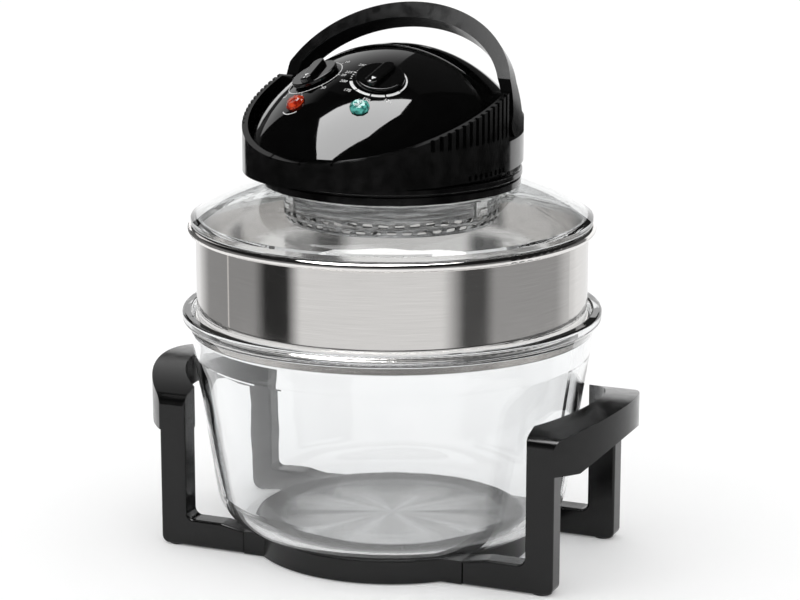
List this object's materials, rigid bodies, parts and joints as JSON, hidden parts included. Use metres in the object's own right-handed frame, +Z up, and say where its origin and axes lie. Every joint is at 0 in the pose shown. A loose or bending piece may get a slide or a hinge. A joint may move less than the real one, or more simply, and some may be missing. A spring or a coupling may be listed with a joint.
{
  "type": "halogen oven",
  "caption": "Countertop halogen oven: glass bowl on a handled stand, steel extender ring and a lift-off glass lid that carries the heater, fans, dials and a folding carry handle.",
  "frame": {"origin": "on the table under the centre of the bowl", "axes": "+Z up, -Y towards the front of the head where the dials are, +X to the right; the head's plane of symmetry is X = 0"},
  "size_m": [0.3986, 0.33, 0.4282],
  "materials": {
    "black_gloss": "high gloss moulded housing",
    "black_satin": "satin moulded plastic",
    "stand_black": "fine-grained moulded stand",
    "bowl_glass": "clear pressed borosilicate",
    "lid_glass": "clear tempered",
    "ring_steel": "bright rolled stainless",
    "heater_steel": "bright pressed steel",
    "inner_steel": "zinc-plated",
    "quartz": "clear quartz with a filament",
    "ceramic": "unglazed steatite",
    "insulation": "pressed fibre board",
    "silicone": "soft silicone",
    "rubber": "moulded rubber",
    "copper": "enamelled winding",
    "laminate": "stacked laminations",
    "fan_plastic": "moulded",
    "aluminium_fan": "pressed sheet",
    "control_body": "moulded thermoset",
    "knob_black": "gloss with a white pointer",
    "red_lens": "faceted translucent",
    "green_lens": "faceted translucent",
    "lamp_glass": "neon bulb"
  },
  "bodies": {
    "stand": {"base_ring": "stand_black", "side_handle_right": "stand_black", "side_handle_left": "stand_black", "stand_screws": "inner_steel", "rubber_feet": "rubber"},
    "bowl": {"glass_bowl": "bowl_glass"},
    "ring": {"extender_ring": "ring_steel"},
    "rotor": {"motor_shaft": "inner_steel", "motor_rotor": "laminate", "convection_fan": "aluminium_fan", "cooling_fan": "fan_plastic", "fan_nut": "inner_steel"},
    "timer_dial": {"timer_knob": "knob_black", "timer_spindle": "inner_steel"},
    "temperature_dial": {"temperature_knob": "knob_black", "temperature_spindle": "inner_steel"},
    "handle": {"carry_handle": "black_satin", "pivot_pins": "inner_steel", "switch_cam": "control_body"},
    "plunger": {"switch_plunger": "control_body"},
    "lid": {"glass_lid": "lid_glass", "upper_gasket": "silicone", "lower_gasket": "silicone", "lid_collar": "black_satin", "clamp_screws": "inner_steel", "reflector_pan": "heater_steel", "heater_guard": "heater_steel", "guard_clips": "heater_steel", "halogen_tube": "quartz", "tube_end_caps": "ceramic", "tube_clips": "inner_steel", "insulation_disc": "insulation", "lower_housing": "black_satin", "front_panel": "black_gloss", "rear_cover": "black_gloss", "housing_screws": "inner_steel", "microswitch": "fan_plastic", "motor_stator": "laminate", "motor_coil": "copper", "motor_bearing_plates": "inner_steel", "motor_bracket": "inner_steel", "motor_screws": "inner_steel", "timer_mechanism": "control_body", "thermostat": "control_body", "red_lens": "red_lens", "green_lens": "green_lens", "indicator_lamps": "lamp_glass", "terminal_block": "control_body", "inlet_grommet": "rubber"}
  },
  "joints": [
    {"name": "bowl_lift", "type": "slide", "parent": "stand", "child": "bowl", "axis": [0, 0, 1], "range_m": [0, 0.15]},
    {"name": "ring_lift", "type": "slide", "parent": "bowl", "child": "ring", "axis": [0, 0, 1], "range_m": [0, 0.1]},
    {"name": "lid_lift", "type": "slide", "parent": "ring", "child": "lid", "axis": [0, 0, 1], "range_m": [0, 0.15]},
    {"name": "handle_fold", "type": "hinge", "parent": "lid", "child": "handle", "pos_m": [0, 0.014, 0.345], "axis": [-1, 0, 0], "range_deg": [-18, 40]},
    {"name": "plunger_press", "type": "slide", "parent": "lid", "child": "plunger", "axis": [0, 0, -1], "range_m": [-0.00065, 0.0014]},
    {"name": "timer_turn", "type": "hinge", "parent": "lid", "child": "timer_dial", "pos_m": [-0.031, -0.0635, 0.38178], "axis": [0.2751, 0.3531, -0.8942], "range_deg": [0, 300]},
    {"name": "temperature_turn", "type": "hinge", "parent": "lid", "child": "temperature_dial", "pos_m": [0.025, -0.0635, 0.38343], "axis": [-0.2218, 0.3531, -0.9089], "range_deg": [0, 270]},
    {"name": "fan_spin", "type": "hinge", "parent": "lid", "child": "rotor", "pos_m": [0, 0, 0.316], "axis": [0, 0, 1], "continuous": true}
  ],
  "couplings": [
    {"joint": "plunger_press", "follows": "handle_fold", "m_per_rad": 0.00191}
  ]
}
